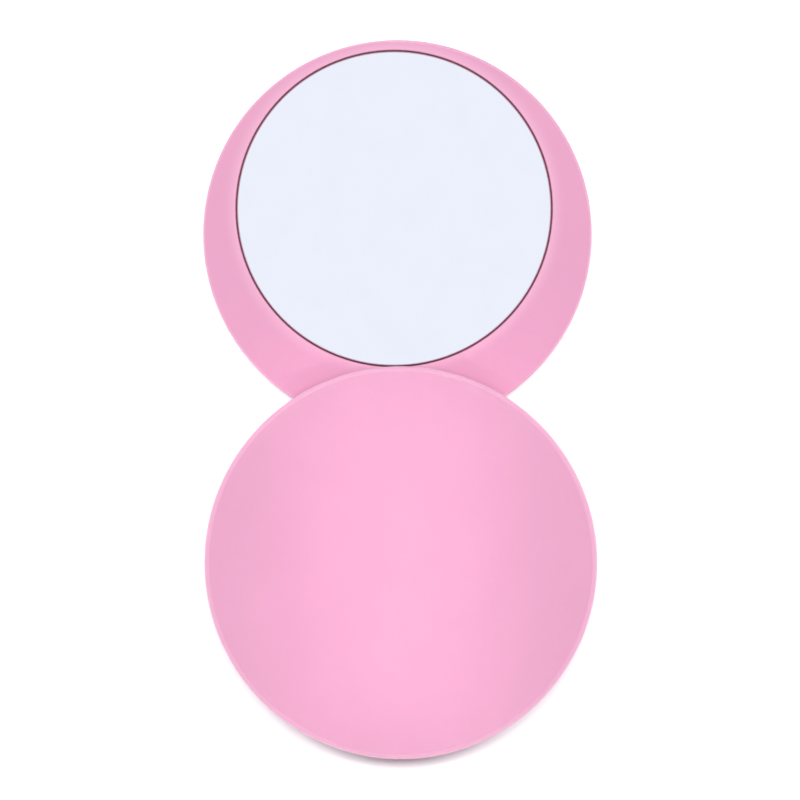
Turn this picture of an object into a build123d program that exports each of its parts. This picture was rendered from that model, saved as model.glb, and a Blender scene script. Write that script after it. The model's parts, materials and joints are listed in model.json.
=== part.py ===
"""Swivel contact lens case: a hinged twin-well case leaf over a round mirror leaf.

Millimetres, +Z up, lying flat and swung open. The origin is on the rest surface, midway between
the two leaves' centres. The mirror leaf lies at +Y on the surface, and the case leaf lies at -Y
one layer higher, joined to it by one vertical swivel pivot where the two discs overlap.
"""
from build123d import *
from math import asin, cos, degrees, radians, sin, sqrt
import os

os.makedirs("parts", exist_ok=True)

# ---- driving dimensions ----
LEAF_RADIUS = 35.0  # both leaves
PIVOT_REACH = 29.65  # pivot axis to either leaf's centre
OPEN_ANGLE = 166.0  # swing from closed to the stored open pose
SWING_BEYOND = 14.0  # further swing, up to a straight half turn
LEAN = 0.58  # the line through both centres leans left of +Y, degrees

LEAF_TOP = 6.0  # face of the mirror leaf above the rest surface
LEAF_UNDER = 0.3  # underside of the frame's rim
LEAF_EDGE_FILLET = 0.55
LEAF_UNDER_FILLET = 0.8
BACK_RADIUS = 33.0
BACK_THICK = 1.5
BACK_EDGE_FILLET = 0.25
GRIP_RING_RADIUS = 29.6
GRIP_RING_HALF = 0.4
GRIP_RING_DEPTH = 0.35
MIRROR_RADIUS = 28.25
MIRROR_THICK = 2.0
MIRROR_SINK = 0.3  # glass below the frame's face
MIRROR_OFFSET = 4.65  # mirror's centre beyond the leaf's centre, away from the pivot
MIRROR_GAP = 0.33
MIRROR_BEVEL = 0.15
RECESS_FILLET = 0.3
TAPE_THICK = 0.3
TAPE_CLEAR = 0.05
TAPE_HOLE = 1.5

LEAF_GAP = 0.4  # air between the two leaves
BASE_HEIGHT = 9.6
PARTING_GAP = 0.3
LIP_HEIGHT = 0.9  # locating lip on the base's rim, standing in a rebate inside the lid's wall
LIP_THICK = 0.6
LIP_END_GAP = 0.5  # from the lip's ends to the lid's hinge block
WALL = 1.5
FLOOR = 1.4
LID_EDGE_HEIGHT = 6.5  # lid's bottom edge to the start of the dome
DOME_RISE = 0.8
LID_EDGE_FILLET = 1.2
ROOF = 1.5

HINGE_INSET = 2.0  # hinge axis inside the round outline
EAR_RADIUS = 2.9
HINGE_CLEAR = 0.3
KNUCKLE_HALF = 2.9  # half width of the base's middle knuckle
PIN_RADIUS = 0.7
PIN_HALF_LENGTH = 8.0
RUNNING = 0.05  # radial running clearance of the pin and the pivot
FIT_CLEAR = 0.15  # round a cover, tray or liner dropped into a shell
HOLE_CLEAR = 0.2  # round a screw or a boss that passes through a plate
OVERCUT = 0.1  # a cut's or a rib's run past the face that it starts or ends on
SMALL_BEVEL = 0.15

WELL_RADIUS = 11.5
WELL_WALL = 1.1
WELL_SPREAD = 14.0  # each well's centre from the middle of the case
WELL_DROP = -2.5  # both wells lie this far towards the free edge
WELL_FLANGE = 13.5
WELL_DEPTH = 8.2
WELL_CORNER = 6.0

SHOULDER_RADIUS = 1.9
THREAD_RADIUS = 1.25
INSERT_RADIUS = 2.6
BUSH_RADIUS = 2.9
PIVOT_HEAD_RADIUS = 3.4
STOP_REACH = 4.0  # stop pin's axis from the pivot's axis
STOP_RADIUS = 0.5
STOP_CLEAR = 0.2

SCREW_RADIUS = 0.8
SCREW_HEAD_RADIUS = 1.8
SCREW_HEAD_THICK = 0.9
SCREW_CROSS_LENGTH = 1.9
SCREW_CROSS_WIDTH = 0.45
SCREW_CROSS_DEPTH = 0.5
SCREW_BEVEL = 0.2
MAGNET_RADIUS = 3.0
MAGNET_THICK = 2.0

# ---- levels and places worked out from them ----
MIRROR_TOP = LEAF_TOP - MIRROR_SINK
MIRROR_BOTTOM = MIRROR_TOP - MIRROR_THICK
TAPE_BOTTOM = MIRROR_BOTTOM - TAPE_THICK
CASE_BOTTOM = LEAF_TOP + LEAF_GAP
FLOOR_TOP = CASE_BOTTOM + FLOOR
RIM = CASE_BOTTOM + BASE_HEIGHT
LID_BOTTOM = RIM + PARTING_GAP
LID_SHOULDER = LID_BOTTOM + LID_EDGE_HEIGHT
LID_TOP = LID_SHOULDER + DOME_RISE
HINGE_Z = RIM + PARTING_GAP / 2
INNER_RADIUS = LEAF_RADIUS - WALL
FLOOR_MIDDLE = (CASE_BOTTOM + FLOOR_TOP) / 2

half_span = PIVOT_REACH * sin(radians(OPEN_ANGLE / 2))
pivot_side = PIVOT_REACH * cos(radians(OPEN_ANGLE / 2))
lean_x = sin(radians(LEAN))
lean_y = cos(radians(LEAN))
leaf_x, leaf_y = -half_span * lean_x, half_span * lean_y
case_x, case_y = -leaf_x, -leaf_y
pivot_x, pivot_y = pivot_side * lean_y, pivot_side * lean_x
outward = ((leaf_x - pivot_x) / PIVOT_REACH, (leaf_y - pivot_y) / PIVOT_REACH)
mirror_x = leaf_x + MIRROR_OFFSET * outward[0]
mirror_y = leaf_y + MIRROR_OFFSET * outward[1]
leaf_heading = 90 + LEAN + (180 - OPEN_ANGLE) / 2  # from the pivot towards the mirror leaf's centre
case_heading = leaf_heading + OPEN_ANGLE  # from the pivot towards the case's centre

leaf_plane = Plane(origin=(leaf_x, leaf_y, 0))
case_plane = Plane(origin=(case_x, case_y, 0))
pivot_plane = Plane(origin=(pivot_x, pivot_y, 0))
mirror_plane = Plane(origin=(mirror_x, mirror_y, 0))
hinge_x = case_x - LEAF_RADIUS + HINGE_INSET
hinge_plane = Plane(origin=(hinge_x, case_y, HINGE_Z), x_dir=(1, 0, 0), z_dir=(0, 1, 0))
hinge_chord = sqrt(LEAF_RADIUS**2 - (LEAF_RADIUS - HINGE_INSET) ** 2)
EAR_END = hinge_chord + 0.15  # ears end where the outline crosses the hinge axis
COVE_RADIUS = EAR_RADIUS + HINGE_CLEAR


def save(block, label):
    """Name the finished piece and write it as one STEP file."""
    block.part.label = label
    export_step(block.part, f"parts/{label}.step")


def polar_points(reach, angles):
    """Points at one distance from the local origin, at the given headings in degrees."""
    return [(reach * cos(radians(a)), reach * sin(radians(a))) for a in angles]


# =========================== mirror leaf ===========================
BACK_SCREW_REACH = 26.0
BACK_COUNTERBORE = 1.0
BACK_SCREW_TIP = 2.9
back_screw_points = polar_points(BACK_SCREW_REACH, [leaf_heading + 120 * i for i in range(3)])

# flat back cover, let into the frame's underside: the face that everything rests on
with BuildPart() as mirror_back:
    with BuildSketch(leaf_plane):
        Circle(BACK_RADIUS)
    extrude(amount=BACK_THICK)
    fillet(mirror_back.edges().group_by(Axis.Z)[0], radius=BACK_EDGE_FILLET)
    with BuildSketch(leaf_plane):
        Circle(GRIP_RING_RADIUS + GRIP_RING_HALF)
        Circle(GRIP_RING_RADIUS - GRIP_RING_HALF, mode=Mode.SUBTRACT)
    extrude(amount=GRIP_RING_DEPTH, mode=Mode.SUBTRACT)
    with BuildSketch(leaf_plane):
        with Locations(back_screw_points):
            Circle(SCREW_HEAD_RADIUS + HOLE_CLEAR)
    extrude(amount=BACK_COUNTERBORE, mode=Mode.SUBTRACT)
    with BuildSketch(leaf_plane):
        with Locations(back_screw_points):
            Circle(SCREW_RADIUS + HOLE_CLEAR)
    extrude(amount=BACK_THICK, mode=Mode.SUBTRACT)
save(mirror_back, "mirror_back")

# front frame: a disc with the mirror's recess above and the back cover's recess below
INSERT_TOP = 5.2
GROOVE_DEPTH = 1.2
groove_half = STOP_RADIUS + STOP_CLEAR
groove_spare = degrees(asin(STOP_CLEAR / STOP_REACH))
groove_arc = CenterArc(
    (0, 0),
    STOP_REACH,
    case_heading - OPEN_ANGLE - groove_spare,
    OPEN_ANGLE + SWING_BEYOND + 2 * groove_spare,
)
with BuildPart() as mirror_frame:
    with BuildSketch(leaf_plane.offset(LEAF_UNDER)):
        Circle(LEAF_RADIUS)
    extrude(amount=LEAF_TOP - LEAF_UNDER)
    fillet(mirror_frame.edges().group_by(Axis.Z)[-1], radius=LEAF_EDGE_FILLET)
    fillet(mirror_frame.edges().group_by(Axis.Z)[0], radius=LEAF_UNDER_FILLET)
    with BuildSketch(leaf_plane.offset(LEAF_UNDER)):
        Circle(BACK_RADIUS + FIT_CLEAR)
    extrude(amount=BACK_THICK - LEAF_UNDER, mode=Mode.SUBTRACT)
    with BuildSketch(mirror_plane.offset(TAPE_BOTTOM)):
        Circle(MIRROR_RADIUS + MIRROR_GAP)
    extrude(amount=LEAF_TOP, mode=Mode.SUBTRACT)
    recess_edge = mirror_frame.edges().group_by(Axis.Z)[-1].sort_by(SortBy.RADIUS)[0]
    fillet(recess_edge, radius=RECESS_FILLET)
    with BuildSketch(leaf_plane.offset(BACK_THICK)):
        with Locations(back_screw_points):
            Circle(SCREW_RADIUS)
    extrude(amount=BACK_SCREW_TIP + OVERCUT - BACK_THICK, mode=Mode.SUBTRACT)
    with BuildSketch(pivot_plane.offset(BACK_THICK)):
        Circle(INSERT_RADIUS)
    extrude(amount=INSERT_TOP - BACK_THICK, mode=Mode.SUBTRACT)
    with BuildSketch(pivot_plane.offset(INSERT_TOP)):
        Circle(SHOULDER_RADIUS + RUNNING)
    extrude(amount=LEAF_TOP - INSERT_TOP, mode=Mode.SUBTRACT)
    with BuildSketch(pivot_plane.offset(LEAF_TOP - GROOVE_DEPTH)):
        SlotArc(groove_arc, 2 * groove_half)
    extrude(amount=GROOVE_DEPTH, mode=Mode.SUBTRACT)
save(mirror_frame, "mirror_frame")

# foam tape disc, a little wider than the glass so that it lines the foot of the gap round it
with BuildPart() as mirror_tape:
    with BuildSketch(mirror_plane.offset(TAPE_BOTTOM)):
        Circle(MIRROR_RADIUS + MIRROR_GAP - TAPE_CLEAR)
        with PolarLocations(MIRROR_RADIUS / 2, 4):
            Circle(TAPE_HOLE, mode=Mode.SUBTRACT)
    extrude(amount=TAPE_THICK)
save(mirror_tape, "mirror_tape")

with BuildPart() as mirror_glass:
    with BuildSketch(mirror_plane.offset(MIRROR_BOTTOM)):
        Circle(MIRROR_RADIUS)
    extrude(amount=MIRROR_THICK)
    chamfer(mirror_glass.edges().group_by(Axis.Z)[-1], length=MIRROR_BEVEL)
    chamfer(mirror_glass.edges().group_by(Axis.Z)[0], length=MIRROR_BEVEL)
save(mirror_glass, "mirror_glass")


def screw_group(plane, points, seat, tip, head_up):
    """Identical small screws: heads on one side of the seat level, shanks to the tip level."""
    head_end = seat + SCREW_HEAD_THICK if head_up else seat - SCREW_HEAD_THICK
    head_low, head_high = min(seat, head_end), max(seat, head_end)
    recess_low = head_high - SCREW_CROSS_DEPTH if head_up else head_low
    with BuildPart() as screws:
        with BuildSketch(plane.offset(head_low)):
            with Locations(points):
                Circle(SCREW_HEAD_RADIUS)
        extrude(amount=head_high - head_low)
        chamfer(screws.edges().group_by(Axis.Z)[-1 if head_up else 0], length=SCREW_BEVEL)
        with BuildSketch(plane.offset(min(seat, tip))):
            with Locations(points):
                Circle(SCREW_RADIUS)
        extrude(amount=abs(tip - seat))
        with BuildSketch(plane.offset(recess_low)):
            with Locations(points):
                Rectangle(SCREW_CROSS_LENGTH, SCREW_CROSS_WIDTH)
                Rectangle(SCREW_CROSS_WIDTH, SCREW_CROSS_LENGTH)
        extrude(amount=SCREW_CROSS_DEPTH, mode=Mode.SUBTRACT)
    return screws


back_screws = screw_group(leaf_plane, back_screw_points, BACK_COUNTERBORE, BACK_SCREW_TIP, head_up=False)
save(back_screws, "back_screws")

# =========================== swivel pivot ===========================
BOSS_TOP = 9.2
INSERT_BOTTOM = BACK_THICK + 0.2
INSERT_BEVEL = 0.25
KNURL_BOTTOM = 2.6
KNURL_HEIGHT = 1.6
KNURL_RADIUS = 0.16
KNURL_COUNT = 18
THREAD_TIP = 2.2
BUSH_FLANGE_THICK = 0.6
WASHER_THICK = 0.4
FACE_CLEAR = 0.02
BUSH_TOP = BOSS_TOP + BUSH_FLANGE_THICK
HEAD_BOTTOM = BUSH_TOP + WASHER_THICK + 2 * FACE_CLEAR
HEAD_THICK = 1.6
HEAD_BEVEL = 0.3
SOCKET_RADIUS = 1.3
SOCKET_DEPTH = 0.9
BUSH_FLANGE_RADIUS = 3.6
WAVE_WASHER_RADIUS = 3.3
SLIP_WASHER_RADIUS = 3.1

# brass insert pressed into the frame from below, with a knurled band at mid height
with BuildPart() as pivot_insert:
    with BuildSketch(pivot_plane.offset(INSERT_BOTTOM)):
        Circle(INSERT_RADIUS)
        Circle(THREAD_RADIUS, mode=Mode.SUBTRACT)
    extrude(amount=INSERT_TOP - INSERT_BOTTOM)
    with BuildSketch(pivot_plane.offset(KNURL_BOTTOM)):
        with PolarLocations(INSERT_RADIUS, KNURL_COUNT):
            Circle(KNURL_RADIUS)
    extrude(amount=KNURL_HEIGHT, mode=Mode.SUBTRACT)
    chamfer(pivot_insert.edges().group_by(Axis.Z)[0].sort_by(SortBy.RADIUS)[-1], length=INSERT_BEVEL)
save(pivot_insert, "pivot_insert")

# shoulder screw: thread in the insert, shoulder through the bush, head over the wave washer
with BuildPart() as pivot_screw:
    with BuildSketch(pivot_plane.offset(THREAD_TIP)):
        Circle(THREAD_RADIUS)
    extrude(amount=INSERT_TOP - THREAD_TIP)
    with BuildSketch(pivot_plane.offset(INSERT_TOP)):
        Circle(SHOULDER_RADIUS)
    extrude(amount=HEAD_BOTTOM - INSERT_TOP)
    with BuildSketch(pivot_plane.offset(HEAD_BOTTOM)):
        Circle(PIVOT_HEAD_RADIUS)
    extrude(amount=HEAD_THICK)
    chamfer(pivot_screw.edges().group_by(Axis.Z)[-1], length=HEAD_BEVEL)
    with BuildSketch(pivot_plane.offset(HEAD_BOTTOM + HEAD_THICK - SOCKET_DEPTH)):
        RegularPolygon(SOCKET_RADIUS, 6)
    extrude(amount=SOCKET_DEPTH, mode=Mode.SUBTRACT)
save(pivot_screw, "pivot_screw")

with BuildPart() as slip_washer:
    with BuildSketch(pivot_plane.offset(LEAF_TOP)):
        Circle(SLIP_WASHER_RADIUS)
        Circle(SHOULDER_RADIUS + RUNNING, mode=Mode.SUBTRACT)
    extrude(amount=LEAF_GAP - FACE_CLEAR)
save(slip_washer, "slip_washer")

with BuildPart() as pivot_bush:
    with BuildSketch(pivot_plane.offset(CASE_BOTTOM)):
        Circle(BUSH_RADIUS)
    extrude(amount=BOSS_TOP - CASE_BOTTOM)
    with BuildSketch(pivot_plane.offset(BOSS_TOP)):
        Circle(BUSH_FLANGE_RADIUS)
    extrude(amount=BUSH_FLANGE_THICK)
    with BuildSketch(pivot_plane.offset(CASE_BOTTOM)):
        Circle(SHOULDER_RADIUS + RUNNING)
    extrude(amount=BUSH_TOP - CASE_BOTTOM, mode=Mode.SUBTRACT)
save(pivot_bush, "pivot_bush")

with BuildPart() as wave_washer:
    with BuildSketch(pivot_plane.offset(BUSH_TOP + FACE_CLEAR)):
        Circle(WAVE_WASHER_RADIUS)
        Circle(SHOULDER_RADIUS + HOLE_CLEAR, mode=Mode.SUBTRACT)
    extrude(amount=WASHER_THICK)
save(wave_washer, "wave_washer")

STOP_TOP = 8.6
STOP_FOOT_GAP = 0.3  # stop pin's foot above the groove's floor
STOP_BOTTOM = LEAF_TOP - GROOVE_DEPTH + STOP_FOOT_GAP
STOP_BEVEL = 0.12
stop_point = polar_points(STOP_REACH, [case_heading])
with BuildPart() as stop_pin:
    with BuildSketch(pivot_plane.offset(STOP_BOTTOM)):
        with Locations(stop_point):
            Circle(STOP_RADIUS)
    extrude(amount=STOP_TOP - STOP_BOTTOM)
    chamfer(stop_pin.edges().group_by(Axis.Z)[0], length=STOP_BEVEL)
save(stop_pin, "stop_pin")

# =========================== case base ===========================
TRAY_TOP = 15.4
TRAY_THICK = 1.2
TRAY_BOTTOM = TRAY_TOP - TRAY_THICK
BOSS_RADIUS = 2.5
PIVOT_BOSS_RADIUS = 5.1
MAGNET_TOP = 15.6
MAGNET_BOSS_RADIUS = 4.0
BLOCK_HALF = 13.2  # half length of the hinge block
BLOCK_INNER = 28.9  # hinge block's inner face from the case's centre
PAD_INNER = LEAF_RADIUS - WALL - 1.8  # thumb pad's inner face from the case's centre
BASE_FILLET = 1.2
THUMB_HALF = 8.0
PAD_HALF = THUMB_HALF + 1.0
TRIM_REACH = 6.0  # width of the ring that trims the hinge to the round outline
TRAY_SCREW_TIP = FLOOR_TOP + 1.0
THUMB_RADIUS = 14.0
THUMB_DEPTH = 1.1
THUMB_HEIGHT = 4.0
tray_screw_points = polar_points(29.0, [60, 120, 240, 300])
magnet_points = polar_points(29.2, [42, -42])

with BuildPart() as case_base:
    with BuildSketch(case_plane.offset(CASE_BOTTOM)):
        Circle(LEAF_RADIUS)
    extrude(amount=BASE_HEIGHT)
    fillet(case_base.edges().group_by(Axis.Z)[0], radius=BASE_FILLET)
    with BuildSketch(case_plane.offset(FLOOR_TOP)):
        Circle(INNER_RADIUS)
    extrude(amount=BASE_HEIGHT, mode=Mode.SUBTRACT)
    # hinge block at the left and thumb pad at the right, both backing the wall
    with BuildSketch(case_plane.offset(FLOOR_MIDDLE)):
        with Locations((-LEAF_RADIUS, 0)):
            Rectangle(2 * (LEAF_RADIUS - BLOCK_INNER), 2 * BLOCK_HALF)
        with Locations((LEAF_RADIUS, 0)):
            Rectangle(2 * (LEAF_RADIUS - PAD_INNER), 2 * PAD_HALF)
        Circle(LEAF_RADIUS - WALL / 2, mode=Mode.INTERSECT)
    extrude(amount=RIM - FLOOR_MIDDLE)
    # locating lip round the rim, open at the hinge
    with BuildSketch(case_plane.offset(RIM - OVERCUT)):
        Circle(INNER_RADIUS + LIP_THICK)
        Circle(INNER_RADIUS, mode=Mode.SUBTRACT)
        with Locations((-LEAF_RADIUS, 0)):
            Rectangle(2 * (LEAF_RADIUS - BLOCK_INNER), 2 * (BLOCK_HALF + LIP_END_GAP), mode=Mode.SUBTRACT)
    extrude(amount=OVERCUT + LIP_HEIGHT)
    # bosses: swivel pivot, tray screws and magnets
    with BuildSketch(pivot_plane.offset(FLOOR_MIDDLE)):
        Circle(PIVOT_BOSS_RADIUS)
    extrude(amount=BOSS_TOP - FLOOR_MIDDLE)
    with BuildSketch(case_plane.offset(FLOOR_MIDDLE)):
        with Locations(tray_screw_points):
            Circle(BOSS_RADIUS)
    extrude(amount=TRAY_BOTTOM - FLOOR_MIDDLE)
    with BuildSketch(case_plane.offset(FLOOR_MIDDLE)):
        with Locations(magnet_points):
            Circle(MAGNET_BOSS_RADIUS)
    extrude(amount=MAGNET_TOP - FLOOR_MIDDLE)
    # middle knuckle, trimmed to the round outline
    with BuildSketch(hinge_plane):
        Circle(EAR_RADIUS)
    extrude(amount=KNUCKLE_HALF, both=True)
    with BuildSketch(case_plane.offset(HINGE_Z - COVE_RADIUS)):
        Circle(LEAF_RADIUS + TRIM_REACH)
        Circle(LEAF_RADIUS, mode=Mode.SUBTRACT)
    extrude(amount=2 * COVE_RADIUS, mode=Mode.SUBTRACT)
    # coves that the lid's ears turn in
    for side in (-1, 1):
        with BuildSketch(hinge_plane.offset(side * KNUCKLE_HALF)):
            Circle(COVE_RADIUS)
        extrude(amount=side * (EAR_END + HINGE_CLEAR - KNUCKLE_HALF), mode=Mode.SUBTRACT)
    with BuildSketch(hinge_plane):
        Circle(PIN_RADIUS)
    extrude(amount=KNUCKLE_HALF, both=True, mode=Mode.SUBTRACT)
    # holes: pivot bush, stop pin, tray screws, magnet pockets
    with BuildSketch(pivot_plane.offset(CASE_BOTTOM)):
        Circle(BUSH_RADIUS)
    extrude(amount=BOSS_TOP - CASE_BOTTOM, mode=Mode.SUBTRACT)
    with BuildSketch(pivot_plane.offset(CASE_BOTTOM)):
        with Locations(stop_point):
            Circle(STOP_RADIUS)
    extrude(amount=STOP_TOP - CASE_BOTTOM, mode=Mode.SUBTRACT)
    with BuildSketch(case_plane.offset(TRAY_SCREW_TIP - OVERCUT)):
        with Locations(tray_screw_points):
            Circle(SCREW_RADIUS)
    extrude(amount=BASE_HEIGHT, mode=Mode.SUBTRACT)
    with BuildSketch(case_plane.offset(MAGNET_TOP - MAGNET_THICK)):
        with Locations(magnet_points):
            Circle(MAGNET_RADIUS)
    extrude(amount=MAGNET_THICK, mode=Mode.SUBTRACT)
    # thumb scoop under the lid's edge
    with BuildSketch(case_plane.offset(RIM - THUMB_HEIGHT)):
        with Locations((LEAF_RADIUS + THUMB_RADIUS - THUMB_DEPTH, 0)):
            Circle(THUMB_RADIUS)
    extrude(amount=THUMB_HEIGHT + LIP_HEIGHT, mode=Mode.SUBTRACT)
save(case_base, "case_base")

with BuildPart() as base_magnets:
    with BuildSketch(case_plane.offset(MAGNET_TOP - MAGNET_THICK)):
        with Locations(magnet_points):
            Circle(MAGNET_RADIUS)
    extrude(amount=MAGNET_THICK)
    chamfer(base_magnets.edges().filter_by(GeomType.CIRCLE), length=SMALL_BEVEL)
save(base_magnets, "base_magnets")

with BuildPart() as hinge_pin:
    with BuildSketch(hinge_plane):
        Circle(PIN_RADIUS)
    extrude(amount=PIN_HALF_LENGTH, both=True)
    chamfer(hinge_pin.edges().group_by(Axis.Y)[0], length=SMALL_BEVEL)
    chamfer(hinge_pin.edges().group_by(Axis.Y)[-1], length=SMALL_BEVEL)
save(hinge_pin, "hinge_pin")

# =========================== tray and wells ===========================
CAP_PLUG_RADIUS = 2.8
CAP_RADIUS = 3.4
CAP_THICK = 0.7
CAP_FILLET = 0.4
CAP_SLOT_LENGTH = 4.2
CAP_SLOT_WIDTH = 0.7
well_points = {"left": (-WELL_SPREAD, WELL_DROP), "right": (WELL_SPREAD, WELL_DROP)}
pivot_in_case = (pivot_x - case_x, pivot_y - case_y)

with BuildPart() as tray_plate:
    with BuildSketch(case_plane.offset(TRAY_BOTTOM)):
        Circle(INNER_RADIUS - FIT_CLEAR)
        with Locations(*well_points.values()):
            Circle(WELL_RADIUS + WELL_WALL + OVERCUT, mode=Mode.SUBTRACT)
        with Locations(magnet_points):
            Circle(MAGNET_BOSS_RADIUS + HOLE_CLEAR, mode=Mode.SUBTRACT)
        with Locations(tray_screw_points):
            Circle(SCREW_RADIUS + HOLE_CLEAR, mode=Mode.SUBTRACT)
        with Locations(pivot_in_case):
            Circle(CAP_PLUG_RADIUS, mode=Mode.SUBTRACT)
        with Locations((-LEAF_RADIUS, 0)):
            Rectangle(
                2 * (LEAF_RADIUS - BLOCK_INNER + HOLE_CLEAR),
                2 * (BLOCK_HALF + HOLE_CLEAR),
                mode=Mode.SUBTRACT,
            )
        with Locations((LEAF_RADIUS, 0)):
            Rectangle(
                2 * (LEAF_RADIUS - PAD_INNER + HOLE_CLEAR),
                2 * (PAD_HALF + HOLE_CLEAR),
                mode=Mode.SUBTRACT,
            )
    extrude(amount=TRAY_THICK)
save(tray_plate, "tray_plate")

tray_screws = screw_group(case_plane, tray_screw_points, TRAY_TOP, TRAY_SCREW_TIP, head_up=True)
save(tray_screws, "tray_screws")

with BuildPart() as pivot_cap:
    with BuildSketch(pivot_plane.offset(TRAY_BOTTOM)):
        Circle(CAP_PLUG_RADIUS)
    extrude(amount=TRAY_THICK)
    with BuildSketch(pivot_plane.offset(TRAY_TOP)):
        Circle(CAP_RADIUS)
    extrude(amount=CAP_THICK)
    fillet(pivot_cap.edges().group_by(Axis.Z)[-1], radius=CAP_FILLET)
    with BuildSketch(pivot_plane.offset(TRAY_TOP + CAP_THICK / 2)):
        Rectangle(CAP_SLOT_LENGTH, CAP_SLOT_WIDTH)
    extrude(amount=CAP_THICK / 2, mode=Mode.SUBTRACT)
save(pivot_cap, "pivot_cap")

WELL_RIM = 17.4
RIM_WIDTH = 1.2
FLANGE_THICK = 0.8
WELL_INSIDE = WELL_RIM - WELL_DEPTH
WELL_BASE_THICK = 1.0
RIB_HEIGHT = 0.5
RIB_WIDTH = 0.6
RIB_INNER = 2.0
RIB_OUTER = 6.0
RIB_COUNT = 8
WELL_RIM_FILLET = 0.3


def well(x, y):
    """A cup with a round bottom, a flange on the tray and a raised sealing rim."""
    outer = WELL_RADIUS + WELL_WALL
    bottom = WELL_INSIDE - WELL_BASE_THICK
    inner_corner = WELL_CORNER - WELL_BASE_THICK
    plane = Plane(origin=(case_x + x, case_y + y, 0), x_dir=(1, 0, 0), z_dir=(0, -1, 0))
    with BuildPart() as cup:
        with BuildSketch(plane):
            with BuildLine():
                Polyline((0, bottom), (outer - WELL_CORNER, bottom))
                RadiusArc((outer - WELL_CORNER, bottom), (outer, bottom + WELL_CORNER), -WELL_CORNER)
                Polyline(
                    (outer, bottom + WELL_CORNER),
                    (outer, TRAY_TOP),
                    (WELL_FLANGE, TRAY_TOP),
                    (WELL_FLANGE, TRAY_TOP + FLANGE_THICK),
                    (WELL_RADIUS + RIM_WIDTH, TRAY_TOP + FLANGE_THICK),
                    (WELL_RADIUS + RIM_WIDTH, WELL_RIM),
                    (WELL_RADIUS, WELL_RIM),
                    (WELL_RADIUS, WELL_INSIDE + inner_corner),
                )
                RadiusArc(
                    (WELL_RADIUS, WELL_INSIDE + inner_corner),
                    (WELL_RADIUS - inner_corner, WELL_INSIDE),
                    inner_corner,
                )
                Polyline((WELL_RADIUS - inner_corner, WELL_INSIDE), (0, WELL_INSIDE), (0, bottom))
            make_face()
        revolve(axis=Axis((case_x + x, case_y + y, 0), (0, 0, 1)))
        fillet(cup.edges().group_by(Axis.Z)[-1], radius=WELL_RIM_FILLET)
        # low ribs across the bottom, so that a lens doesn't cling to it
        with BuildSketch(Plane(origin=(case_x + x, case_y + y, WELL_INSIDE - OVERCUT))):
            with PolarLocations((RIB_INNER + RIB_OUTER) / 2, RIB_COUNT):
                SlotOverall(RIB_OUTER - RIB_INNER, RIB_WIDTH)
        extrude(amount=RIB_HEIGHT + OVERCUT)
    return cup


for name, (x, y) in well_points.items():
    save(well(x, y), f"{name}_well")

# =========================== lid ===========================
LINER_BOTTOM = 18.5
LINER_THICK = 1.0
LINER_TOP = LINER_BOTTOM + LINER_THICK
STRIKER_THICK = 1.0
STRIKER_BOTTOM = LID_BOTTOM + 0.3
STRIKER_BEVEL = 0.2
DIMPLE_RADIUS = 0.6
DIMPLE_DEPTH = 0.4
BOSS_HEAD = LID_SHOULDER - 0.8  # level inside the roof where the lid's bosses end
LINER_INNER = 29.6  # liner ends short of the hinge
LINER_CLEAR = 0.3
SEAL_GAP = 0.06
SEAL_PLUG = 0.8
SEAL_PLUG_RADIUS = WELL_RADIUS - 0.4
SEAL_PLUG_TAPER = -8  # degrees, wider towards the disc
SEAL_RADIUS = 12.6
LINER_SCREW_TIP = LINER_TOP + 1.8
dome_radius = (LEAF_RADIUS**2 + DOME_RISE**2) / (2 * DOME_RISE)
lid_section = Plane(origin=(case_x, case_y, 0), x_dir=(1, 0, 0), z_dir=(0, -1, 0))
liner_screw_points = polar_points(28.5, [75, 135, 225, 285])

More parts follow.
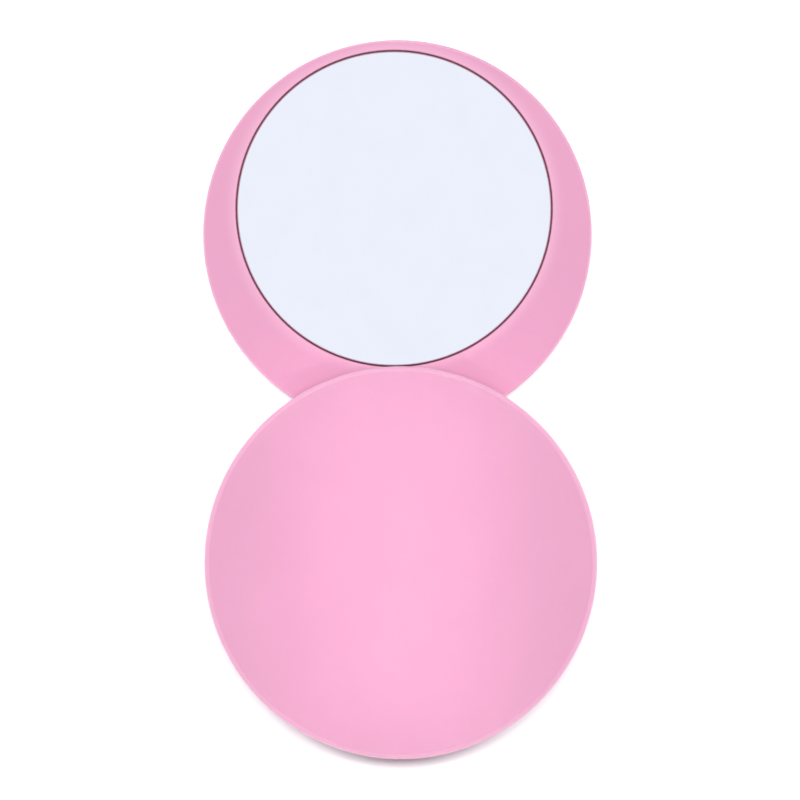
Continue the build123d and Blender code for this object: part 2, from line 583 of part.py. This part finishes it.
with BuildPart() as lid_shell:
    with BuildSketch(lid_section):
        with BuildLine():
            Line((0, LID_TOP), (0, LID_TOP - ROOF))
            RadiusArc((0, LID_TOP - ROOF), (INNER_RADIUS, LID_SHOULDER - ROOF), dome_radius)
            Polyline(
                (INNER_RADIUS, LID_SHOULDER - ROOF),
                (INNER_RADIUS, LID_BOTTOM),
                (LEAF_RADIUS, LID_BOTTOM),
                (LEAF_RADIUS, LID_SHOULDER),
            )
            RadiusArc((LEAF_RADIUS, LID_SHOULDER), (0, LID_TOP), -dome_radius)
        make_face()
    revolve(axis=Axis((case_x, case_y, 0), (0, 0, 1)))
    top_edge = lid_shell.edges().filter_by(GeomType.CIRCLE).filter_by(
        lambda e: abs(e.radius - LEAF_RADIUS) < 0.01 and e.center().Z > LID_BOTTOM + 1
    )
    fillet(top_edge, radius=LID_EDGE_FILLET)
    # hinge block inside the wall, striker bosses and liner screw bosses, all under the roof
    with BuildSketch(case_plane.offset(LID_BOTTOM)):
        with Locations((-LEAF_RADIUS, 0)):
            Rectangle(2 * (LEAF_RADIUS - LINER_INNER - LINER_CLEAR), 2 * BLOCK_HALF)
        Circle(LEAF_RADIUS - WALL / 2, mode=Mode.INTERSECT)
        with Locations(magnet_points):
            Circle(MAGNET_BOSS_RADIUS)
    extrude(amount=BOSS_HEAD - LID_BOTTOM)
    with BuildSketch(case_plane.offset(LINER_TOP)):
        with Locations(liner_screw_points):
            Circle(BOSS_RADIUS)
    extrude(amount=BOSS_HEAD - LINER_TOP)
    # rebate for the base's locating lip, open at the hinge block
    with BuildSketch(case_plane.offset(LID_BOTTOM)):
        Circle(INNER_RADIUS + LIP_THICK + FIT_CLEAR)
        Circle(INNER_RADIUS - OVERCUT, mode=Mode.SUBTRACT)
        with Locations((-LEAF_RADIUS, 0)):
            Rectangle(2 * (LEAF_RADIUS - BLOCK_INNER), 2 * BLOCK_HALF, mode=Mode.SUBTRACT)
    extrude(amount=LIP_HEIGHT, mode=Mode.SUBTRACT)
    # hinge ears, trimmed to the round outline
    for side in (-1, 1):
        with BuildSketch(hinge_plane.offset(side * (KNUCKLE_HALF + HINGE_CLEAR))):
            Circle(EAR_RADIUS)
        extrude(amount=side * (EAR_END - KNUCKLE_HALF - HINGE_CLEAR))
    with BuildSketch(case_plane.offset(HINGE_Z - COVE_RADIUS)):
        Circle(LEAF_RADIUS + TRIM_REACH)
        Circle(LEAF_RADIUS, mode=Mode.SUBTRACT)
    extrude(amount=2 * COVE_RADIUS, mode=Mode.SUBTRACT)
    # room for the base's middle knuckle, and the pin's bore
    with BuildSketch(hinge_plane):
        Circle(COVE_RADIUS)
    extrude(amount=KNUCKLE_HALF + HINGE_CLEAR, both=True, mode=Mode.SUBTRACT)
    with BuildSketch(hinge_plane):
        Circle(PIN_RADIUS + RUNNING)
    extrude(amount=PIN_HALF_LENGTH + OVERCUT, both=True, mode=Mode.SUBTRACT)
    # pockets and holes from below
    with BuildSketch(case_plane.offset(LID_BOTTOM)):
        with Locations(magnet_points):
            Circle(MAGNET_RADIUS)
    extrude(amount=STRIKER_BOTTOM + STRIKER_THICK - LID_BOTTOM, mode=Mode.SUBTRACT)
    with BuildSketch(case_plane.offset(LINER_TOP)):
        with Locations(liner_screw_points):
            Circle(SCREW_RADIUS)
    extrude(amount=LINER_SCREW_TIP + OVERCUT - LINER_TOP, mode=Mode.SUBTRACT)
save(lid_shell, "lid_shell")

with BuildPart() as lid_strikers:
    with BuildSketch(case_plane.offset(STRIKER_BOTTOM)):
        with Locations(magnet_points):
            Circle(MAGNET_RADIUS)
    extrude(amount=STRIKER_THICK)
    chamfer(lid_strikers.edges().group_by(Axis.Z)[0], length=STRIKER_BEVEL)
    with BuildSketch(case_plane.offset(STRIKER_BOTTOM)):
        with Locations(magnet_points):
            Circle(DIMPLE_RADIUS)
    extrude(amount=DIMPLE_DEPTH, mode=Mode.SUBTRACT)
save(lid_strikers, "lid_strikers")

STEM_RADIUS = 1.8
BUTTON_RADIUS = 2.6
BUTTON_THICK = 0.6
with BuildPart() as lid_liner:
    with BuildSketch(case_plane.offset(LINER_BOTTOM)):
        Circle(INNER_RADIUS - FIT_CLEAR)
        with Locations(magnet_points):
            Circle(MAGNET_BOSS_RADIUS + HOLE_CLEAR, mode=Mode.SUBTRACT)
        with Locations(liner_screw_points):
            Circle(SCREW_RADIUS + HOLE_CLEAR, mode=Mode.SUBTRACT)
        with Locations(*well_points.values()):
            Circle(STEM_RADIUS, mode=Mode.SUBTRACT)
        with Locations((-LEAF_RADIUS, 0)):
            Rectangle(2 * (LEAF_RADIUS - LINER_INNER), 2 * (BLOCK_HALF + LINER_CLEAR), mode=Mode.SUBTRACT)
    extrude(amount=LINER_THICK)
save(lid_liner, "lid_liner")

liner_screws = screw_group(case_plane, liner_screw_points, LINER_BOTTOM, LINER_SCREW_TIP, head_up=False)
save(liner_screws, "liner_screws")


def seal(x, y):
    """A silicone disc with a shallow plug below and a retaining stem through the liner."""
    plane = Plane(origin=(case_x + x, case_y + y, 0))
    face = WELL_RIM + SEAL_GAP
    with BuildPart() as disc:
        with BuildSketch(plane.offset(face)):
            Circle(SEAL_RADIUS)
        extrude(amount=LINER_BOTTOM - face)
        with BuildSketch(plane.offset(face - SEAL_PLUG)):
            Circle(SEAL_PLUG_RADIUS)
        extrude(amount=SEAL_PLUG, taper=SEAL_PLUG_TAPER)
        with BuildSketch(plane.offset(LINER_BOTTOM)):
            Circle(STEM_RADIUS)
        extrude(amount=LINER_THICK)
        with BuildSketch(plane.offset(LINER_TOP)):
            Circle(BUTTON_RADIUS)
        extrude(amount=BUTTON_THICK)
    return disc


for name, (x, y) in well_points.items():
    save(seal(x, y), f"{name}_seal")
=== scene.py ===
"""Looks of the swivel contact lens case: materials, small moulded detail, light and camera.

Metres, in the CAD frame: +Z up out of the mirror and the lid, +Y from the case leaf to the
mirror leaf. The camera looks straight down on the open case.
"""
import json
import math

import bmesh
import bpy
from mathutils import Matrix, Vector


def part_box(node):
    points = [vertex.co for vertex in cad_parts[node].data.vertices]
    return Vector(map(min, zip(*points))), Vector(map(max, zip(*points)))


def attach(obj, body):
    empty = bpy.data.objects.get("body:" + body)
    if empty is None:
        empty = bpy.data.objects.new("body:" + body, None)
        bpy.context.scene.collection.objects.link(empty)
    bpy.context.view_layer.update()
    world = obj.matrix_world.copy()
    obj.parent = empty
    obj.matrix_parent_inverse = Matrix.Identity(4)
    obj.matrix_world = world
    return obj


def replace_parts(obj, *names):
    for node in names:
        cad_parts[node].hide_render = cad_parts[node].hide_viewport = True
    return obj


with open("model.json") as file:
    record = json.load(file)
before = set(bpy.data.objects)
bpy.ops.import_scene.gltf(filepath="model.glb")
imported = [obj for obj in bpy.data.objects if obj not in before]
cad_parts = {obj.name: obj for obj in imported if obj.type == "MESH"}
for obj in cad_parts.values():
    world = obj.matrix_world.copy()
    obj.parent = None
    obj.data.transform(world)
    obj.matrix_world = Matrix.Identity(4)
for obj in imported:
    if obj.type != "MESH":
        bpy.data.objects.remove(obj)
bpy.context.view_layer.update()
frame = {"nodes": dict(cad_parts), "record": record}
MM = 0.001
FLAT_TILT = (0.93, 0.98)  # a normal's Z on the way from a rounded edge to a flat face
WALL_TILT = (0.02, 0.30)  # and on the way from an upright wall to a rounded edge
OPEN_SHARE = (0.35, 0.95)  # a point's openness, from deep in a corner to an open face
MOST_NOISE = (0.3, 0.7)  # the middle range, where most of a noise's values lie
nodes = frame["nodes"]


# ---------------------------------------------------------------- materials
class Tree:
    """A material's node tree with one Principled BSDF and short calls for what feeds it."""

    def __init__(self, name, **sockets):
        self.material = bpy.data.materials.new(name)
        self.material.use_nodes = True
        self.nodes = self.material.node_tree.nodes
        self.links = self.material.node_tree.links
        self.bsdf = self.nodes["Principled BSDF"]
        self.place = self.nodes.new("ShaderNodeTexCoord").outputs["Object"]
        for socket, value in sockets.items():
            self.set(socket.replace("_", " "), value)

    def set(self, socket, value):
        """Put a constant, or link an output, on one of the shader's own sockets."""
        target = self.bsdf.inputs[socket]
        if isinstance(value, bpy.types.NodeSocket):
            self.links.new(value, target)
        else:
            target.default_value = (*value, 1.0) if isinstance(value, tuple) else value

    def node(self, kind, inputs=(), **settings):
        """A node of a kind with its properties set and its inputs filled or linked by name."""
        made = self.nodes.new(kind)
        for key, value in settings.items():
            setattr(made, key, value)
        for key, value in dict(inputs).items():
            if isinstance(value, bpy.types.NodeSocket):
                self.links.new(value, made.inputs[key])
            else:
                made.inputs[key].default_value = value
        return made

    def noise(self, size, detail=2.0, roughness=0.5):
        """Noise from about 0 to 1 whose features are about size metres across."""
        inputs = {
            "Vector": self.place,
            "Scale": 1.0 / size,
            "Detail": detail,
            "Roughness": roughness,
        }
        return self.node("ShaderNodeTexNoise", inputs).outputs["Fac"]

    def span(self, value, low, high, start=0.0, end=1.0):
        """The value's range from start to end spread over low to high, clamped."""
        inputs = {"Value": value, "From Min": start, "From Max": end, "To Min": low, "To Max": high}
        return self.node("ShaderNodeMapRange", inputs, clamp=True).outputs["Result"]

    def math(self, operation, a, b=0.0):
        """The result of one operation on numbers or outputs."""
        made = self.nodes.new("ShaderNodeMath")
        made.operation = operation
        for socket, value in zip(made.inputs, (a, b)):
            if isinstance(value, bpy.types.NodeSocket):
                self.links.new(value, socket)
            else:
                socket.default_value = value
        return made.outputs[0]

    def mix(self, factor, a, b):
        """A colour between a and b."""
        made = self.nodes.new("ShaderNodeMix")
        made.data_type = "RGBA"
        for socket, value in (("Factor", factor), ("A", a), ("B", b)):
            found = [s for s in made.inputs if s.name == socket and s.enabled][0]
            if isinstance(value, bpy.types.NodeSocket):
                self.links.new(value, found)
            else:
                found.default_value = (*value, 1.0) if isinstance(value, tuple) else value
        return [s for s in made.outputs if s.enabled][0]

    def bump(self, height, depth):
        """A surface normal with the height (0 to 1) standing depth metres proud."""
        return self.node("ShaderNodeBump", {"Height": height, "Distance": depth}).outputs["Normal"]

    def rounded_rim(self):
        """1 on edges rounded over towards +Z or -Z, and 0 on flat faces and upright walls."""
        split = self.nodes.new("ShaderNodeSeparateXYZ")
        normal = self.nodes.new("ShaderNodeTexCoord").outputs["Normal"]
        self.links.new(normal, split.inputs[0])
        tilt = self.math("ABSOLUTE", split.outputs["Z"])
        upper = self.span(tilt, 1.0, 0.0, *FLAT_TILT)
        return self.math("MULTIPLY", upper, self.span(tilt, 0.0, 1.0, *WALL_TILT))

    def lip_highlight(self, middle, radius, width, low, high):
        """1 at an upright circle's edge, fading to 0 over the width outside it, low to high."""
        in_plan = {0: self.place, 1: (1, 1, 0)}
        flat = self.node("ShaderNodeVectorMath", in_plan, operation="MULTIPLY")
        around = {0: flat.outputs["Vector"], 1: (middle.x, middle.y, 0)}
        away = self.node("ShaderNodeVectorMath", around, operation="DISTANCE").outputs["Value"]
        split = self.nodes.new("ShaderNodeSeparateXYZ")
        self.links.new(self.place, split.inputs[0])
        level = self.math("COMPARE", split.outputs["Z"], (low + high) / 2)
        level.node.inputs[2].default_value = (high - low) / 2
        fade = self.math("POWER", self.span(away, 1.0, 0.0, radius, radius + width), 2)
        return self.math("MULTIPLY", level, fade)

    def corners(self, reach):
        """1 deep in the piece's own inside corners and 0 on its open faces."""
        settings = {"samples": 6, "only_local": True}
        inside = self.node("ShaderNodeAmbientOcclusion", {"Distance": reach}, **settings)
        return self.span(inside.outputs["AO"], 1.0, 0.0, *OPEN_SHARE)


PINK = (0.775, 0.364, 0.545)
LIP_HIGHLIGHT_PINK = (0.93, 0.53, 0.70)
LIP_HIGHLIGHT_SHARE = 0.5  # how far the mirror recess's lip is painted towards the paler pink, a painted highlight
LIP_START = 0.45 * MM  # from the glass's edge to the lip's brightest line
LIP_WIDTH = 2.4 * MM
LIP_BELOW = 0.4 * MM
LIP_ABOVE = 0.1 * MM


def soft_touch(name, colour):
    """Rubbery painted plastic: eggshell grain, a faint bloom, painted shade in its inside corners,
    and painted highlights on its rounded rims and on the lip round the mirror.
    """
    t = Tree(name, Sheen_Weight=0.25, Sheen_Roughness=0.45, Specular_IOR_Level=0.35)
    t.set("Sheen Tint", (1.0, 0.86, 0.93))
    darker = tuple(c * 0.965 for c in colour)
    # a paler pink for the rounded rims: a painted highlight along the edges
    rim_highlight = tuple(min(1.0, c * 1.04 + 0.045) for c in colour)
    cloud = t.span(t.noise(22 * MM, detail=3), 0.0, 1.0, *MOST_NOISE)
    body = t.mix(cloud, darker, colour)
    # inside corners painted darker through an occlusion mask: painted shade
    painted_corner_shade = tuple(c * 0.72 for c in colour)
    shaded = t.mix(t.corners(1.2 * MM), body, painted_corner_shade)
    # the rounded rims take the paler pink: painted highlight
    rim_highlighted = t.mix(t.rounded_rim(), shaded, rim_highlight)
    glass_low, glass_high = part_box("mirror_glass")
    glass_middle = (glass_low + glass_high) / 2
    recess = (glass_high.x - glass_low.x) / 2 + LIP_START
    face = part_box("mirror_frame")[1].z
    lip_highlight = t.lip_highlight(glass_middle, recess, LIP_WIDTH, face - LIP_BELOW, face + LIP_ABOVE)
    # a band round the mirror recess's lip painted paler pink: painted highlight
    t.set("Base Color", t.mix(t.math("MULTIPLY", lip_highlight, LIP_HIGHLIGHT_SHARE), rim_highlighted, LIP_HIGHLIGHT_PINK))
    rub = t.noise(9 * MM, detail=4, roughness=0.6)
    t.set("Roughness", t.span(rub, 0.50, 0.60, *MOST_NOISE))
    grain = t.noise(0.22 * MM, detail=3, roughness=0.55)
    t.set("Normal", t.bump(grain, 0.008 * MM))
    return t.material


def mirror_face():
    """Silvered glass: a cool face with the faintest smudges, and a duller ground edge."""
    t = Tree("mirror_face")
    smudge = t.noise(7 * MM, detail=5, roughness=0.65)
    face = t.mix(t.span(smudge, 0, 1, 0.45, 0.8), (0.835, 0.875, 0.975), (0.82, 0.862, 0.965))
    ground = t.rounded_rim()
    t.set("Base Color", t.mix(ground, face, (0.84, 0.86, 0.87)))
    t.set("Metallic", t.span(ground, 1.0, 0.5))
    smeared = t.span(smudge, 0.015, 0.05, 0.4, 0.75)
    t.set("Roughness", t.math("ADD", smeared, t.span(ground, 0.0, 0.3)))
    return t.material


def plastic(name, colour, roughness, grain_size=0.3 * MM, depth=0.004 * MM, **sockets):
    """Moulded plastic: slight cloudiness, a fine grain and painted shade darkening its inside
    corners.
    """
    t = Tree(name, **sockets)
    deep = tuple(c * 0.95 for c in colour)
    cloud = t.span(t.noise(12 * MM, detail=3), 0.0, 1.0, *MOST_NOISE)
    # inside corners painted darker through an occlusion mask: painted shade
    corner_shade_colour = tuple(c * 0.62 for c in colour)
    t.set("Base Color", t.mix(t.corners(1.5 * MM), t.mix(cloud, deep, colour), corner_shade_colour))
    rub = t.noise(4 * MM, detail=3)
    t.set("Roughness", t.span(rub, roughness - 0.05, roughness + 0.05, *MOST_NOISE))
    t.set("Normal", t.bump(t.noise(grain_size), depth))
    return t.material


def metal(name, colour, roughness):
    """Machined metal with fine tool marks and small dulled patches."""
    t = Tree(name, Metallic=1.0)
    marks = t.noise(0.25 * MM, detail=3)
    dull = t.noise(1.5 * MM, detail=3)
    dulled = tuple(c * 0.88 for c in colour)
    t.set("Base Color", t.mix(t.span(dull, 0, 1, *MOST_NOISE), dulled, colour))
    t.set("Roughness", t.span(marks, roughness - 0.08, roughness + 0.08, *MOST_NOISE))
    t.set("Normal", t.bump(marks, 0.003 * MM))
    return t.material


materials = dict(
    soft_touch_pink=soft_touch("soft_touch_pink", PINK),
    mirror_face=mirror_face(),
    tray_white=plastic("tray_white", (0.72, 0.675, 0.69), 0.42),
    well_white=plastic("well_white", (0.74, 0.745, 0.76), 0.2, depth=0.001 * MM),
    silicone=plastic(
        "silicone", (0.70, 0.60, 0.64), 0.5, Subsurface_Weight=0.25, Subsurface_Scale=1 * MM
    ),
    small_screws=metal("small_screws", (0.62, 0.62, 0.64), 0.32),
    steel=metal("steel", (0.42, 0.425, 0.44), 0.34),
    magnet_plating=metal("magnet_plating", (0.74, 0.74, 0.76), 0.18),
    brass_insert=metal("brass_insert", (0.78, 0.57, 0.27), 0.3),
    nylon=plastic("nylon", (0.82, 0.79, 0.72), 0.4),
    # a real tape under the mirror, but its dark plum stands for the shaded gap round the glass:
    # painted shade
    foam_tape=plastic("foam_tape", (0.40, 0.085, 0.185), 0.9, grain_size=0.2 * MM, depth=0.03 * MM),
)

slot_of = {s["node"]: s["material_slot"] for s in frame["record"]["subparts"]}
for name, obj in nodes.items():
    obj.data.materials.clear()
    obj.data.materials.append(materials[slot_of[name]])


def link(name, data):
    """A new object in the scene that holds the data."""
    made = bpy.data.objects.new(name, data)
    bpy.context.scene.collection.objects.link(made)
    return made


# ---------------------------------------------------------------- small moulded and sprung detail
def piece(name, mesh, body, material):
    """A finished mesh as a piece that rides on a body and takes the given material."""
    mesh.materials.append(material)
    made = link(name, mesh)
    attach(made, body)
    return made


CAPITAL_SHARE = 0.7  # a capital's height as a share of the typeface's size
BOLDNESS = 0.2 * MM
WELD = 0.002 * MM


def raised_letter(name, letter, x, y, level, height, relief):
    """One bold capital standing on the tray in the shell's colour, its top edges softly rounded."""
    text = bpy.data.curves.new(name, "FONT")
    text.body = letter
    text.align_x = "CENTER"
    text.align_y = "CENTER"
    text.size = height / CAPITAL_SHARE
    text.extrude = relief
    text.bevel_depth = 0.1 * MM
    text.bevel_resolution = 2
    text.offset = BOLDNESS
    source = link(f"{name}_outline", text)
    bpy.context.view_layer.update()
    mesh = bpy.data.meshes.new_from_object(source)
    bpy.data.objects.remove(source)
    bpy.data.curves.remove(text)
    shape = bmesh.new()
    shape.from_mesh(mesh)
    bmesh.ops.remove_doubles(shape, verts=shape.verts, dist=WELD)
    bmesh.ops.translate(shape, verts=shape.verts, vec=(x, y, level))
    shape.to_mesh(mesh)
    shape.free()
    mesh.materials.clear()
    return piece(name, mesh, "case", materials["soft_touch_pink"])


LETTER_HEIGHT = 4.6 * MM
LETTER_RELIEF = 0.25 * MM
LETTER_TO_WELL = 1.5 * MM
tray_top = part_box("tray_plate")[1].z
for side, letter in (("left", "L"), ("right", "R")):
    well_low, well_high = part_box(f"{side}_well")
    raised_letter(
        f"{side}_mark",
        letter,
        (well_low.x + well_high.x) / 2,
        well_high.y + LETTER_TO_WELL + LETTER_HEIGHT / 2,
        tray_top,
        LETTER_HEIGHT,
        LETTER_RELIEF,
    )


WASHER_BORE = 2.1 * MM
WASHER_STRIP = 0.16 * MM
WASHER_WAVES = 3
WASHER_STEPS = 96
SHARP_ANGLE = math.radians(40)


def wave_washer():
    """A spring-steel ring bent into three waves, as thick as its strip and as high as its seat."""
    low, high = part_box("wave_washer")
    middle = (low + high) / 2
    outer = (high.x - low.x) / 2
    swing = (high.z - low.z - WASHER_STRIP) / 2
    half = WASHER_STRIP / 2
    section = ((WASHER_BORE, -half), (outer, -half), (outer, half), (WASHER_BORE, half))
    shape = bmesh.new()
    rings = []
    for i in range(WASHER_STEPS):
        turn = 2 * math.pi * i / WASHER_STEPS
        along, across = math.cos(turn), math.sin(turn)
        rise = middle.z + swing * math.cos(WASHER_WAVES * turn)
        points = [(middle.x + r * along, middle.y + r * across, rise + z) for r, z in section]
        rings.append([shape.verts.new(point) for point in points])
    for here, after in zip(rings, rings[1:] + rings[:1]):
        for k in range(4):
            shape.faces.new((here[k], here[k - 1], after[k - 1], after[k]))
    bmesh.ops.recalc_face_normals(shape, faces=shape.faces)
    mesh = bpy.data.meshes.new("wave_spring")
    shape.to_mesh(mesh)
    shape.free()
    mesh.shade_smooth()
    mesh.set_sharp_from_angle(angle=SHARP_ANGLE)
    return piece("wave_spring", mesh, "case", materials["steel"])


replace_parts(wave_washer(), "wave_washer")


# ---------------------------------------------------------------- stage, light and camera
FLOOR_HALF = 3.0
floor_mesh = bpy.data.meshes.new("floor")
corners = [(x * FLOOR_HALF, y * FLOOR_HALF, 0) for x, y in ((-1, -1), (1, -1), (1, 1), (-1, 1))]
floor_mesh.from_pydata(corners, [], [(0, 1, 2, 3)])
floor = link("floor", floor_mesh)
paper = Tree("floor_paper", Roughness=0.9)
paper.set("Base Color", (0.90, 0.90, 0.905))
floor_mesh.materials.append(paper.material)


def aim(obj, target):
    """Turn the object's -Z axis towards the target."""
    obj.rotation_euler = (Vector(target) - obj.location).to_track_quat("-Z", "Y").to_euler()


def area(name, place, target, size, power, depth=None, spread=math.pi):
    """An area light, round or with a depth rectangular, that no reflection shows."""
    light = bpy.data.lights.new(name, "AREA")
    light.shape = "RECTANGLE" if depth else "DISK"
    light.size = size
    light.size_y = depth or size
    light.spread = spread
    light.energy = power
    lamp = link(name, light)
    lamp.location = place
    aim(lamp, target)
    lamp.visible_camera = False
    lamp.visible_glossy = False
    return lamp


def light_only(lamp, obj, state):
    """The lamp lights that object alone (INCLUDE) or everything else (EXCLUDE)."""
    lit = bpy.data.collections.new(f"lit_by_{lamp.name}")
    lit.objects.link(obj)
    lit.collection_objects[0].light_linking.link_state = state
    lamp.light_linking.receiver_collection = lit


# a round key overhead, a broad light for the floor alone, and a narrow soft strip down the lid
key = area("key", place=(0, 0.1, 1.2), target=(0, 0, 0), size=0.36, power=10.85)
light_only(key, floor, "EXCLUDE")
floor_key = area(
    "floor_key", place=(0, 0.32, 3.0), target=(0, 0, 0), size=1.4, power=150, depth=0.40
)
light_only(floor_key, floor, "INCLUDE")
lid_low, lid_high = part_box("lid_shell")
lid_middle = (lid_low + lid_high) / 2
pool_x, pool_y = lid_middle.x - 0.8 * MM, lid_middle.y + 1 * MM
pool = area(
    "pool",
    place=(pool_x, pool_y - 0.07, 0.40),
    target=(pool_x, pool_y, lid_high.z),
    size=34 * MM,
    power=0.0018,
    depth=66 * MM,
    spread=math.radians(6),
)
light_only(pool, floor, "EXCLUDE")

FILL_STRENGTH = 0.35
world = bpy.data.worlds.new("studio")
world.use_nodes = True
bpy.context.scene.world = world
sky = world.node_tree
background = sky.nodes["Background"]
heading = sky.nodes.new("ShaderNodeTexCoord").outputs["Generated"]
split = sky.nodes.new("ShaderNodeSeparateXYZ")
sky.links.new(heading, split.inputs[0])


def sky_ramp(horizon, height):
    """A sky that turns from the horizon's colour to white at a height between 0 and 1."""
    ramp = sky.nodes.new("ShaderNodeValToRGB")
    sky.links.new(split.outputs["Z"], ramp.inputs["Fac"])
    ramp.color_ramp.elements[0].color = (*horizon, 1)
    ramp.color_ramp.elements[1].position = height
    ramp.color_ramp.elements[1].color = (1, 1, 1, 1)
    return ramp.outputs["Color"]


def sky_choice(factor, otherwise, chosen):
    """The chosen colour for one kind of ray, and the other colour for every other ray."""
    made = sky.nodes.new("ShaderNodeMix")
    made.data_type = "RGBA"
    sky.links.new(factor, made.inputs["Factor"])
    for value, socket in zip((otherwise, chosen), [s for s in made.inputs if s.enabled][1:]):
        sky.links.new(value, socket)
    return [s for s in made.outputs if s.enabled][0]


# the fill is soft and even, reflections see a darker horizon that draws the metal's edges, and
# the backdrop is plain white
paths = sky.nodes.new("ShaderNodeLightPath")
fill = sky_ramp((0.90, 0.91, 0.93), 0.8)
reflected = sky_choice(paths.outputs["Is Glossy Ray"], fill, sky_ramp((0.52, 0.53, 0.57), 0.65))
backdrop = sky_choice(paths.outputs["Is Camera Ray"], reflected, sky_ramp((1.0, 1.0, 1.0), 1.0))
sky.links.new(backdrop, background.inputs["Color"])
level = sky.nodes.new("ShaderNodeMapRange")
level.inputs["To Min"].default_value = 1.0
level.inputs["To Max"].default_value = FILL_STRENGTH
sky.links.new(paths.outputs["Is Diffuse Ray"], level.inputs["Value"])
sky.links.new(level.outputs["Result"], background.inputs["Strength"])

CAMERA_HEIGHT = 1.517
CAMERA_LENS = 377.7
camera_data = bpy.data.cameras.new("camera")
camera_data.sensor_width = 36.0
camera_data.lens = CAMERA_LENS
camera_data.clip_start = 0.1
camera_data.clip_end = 20.0
camera = link("camera", camera_data)
camera.location = (0.15 * MM, -0.44 * MM, CAMERA_HEIGHT)
bpy.context.scene.camera = camera
bpy.context.scene.view_settings.view_transform = "Standard"
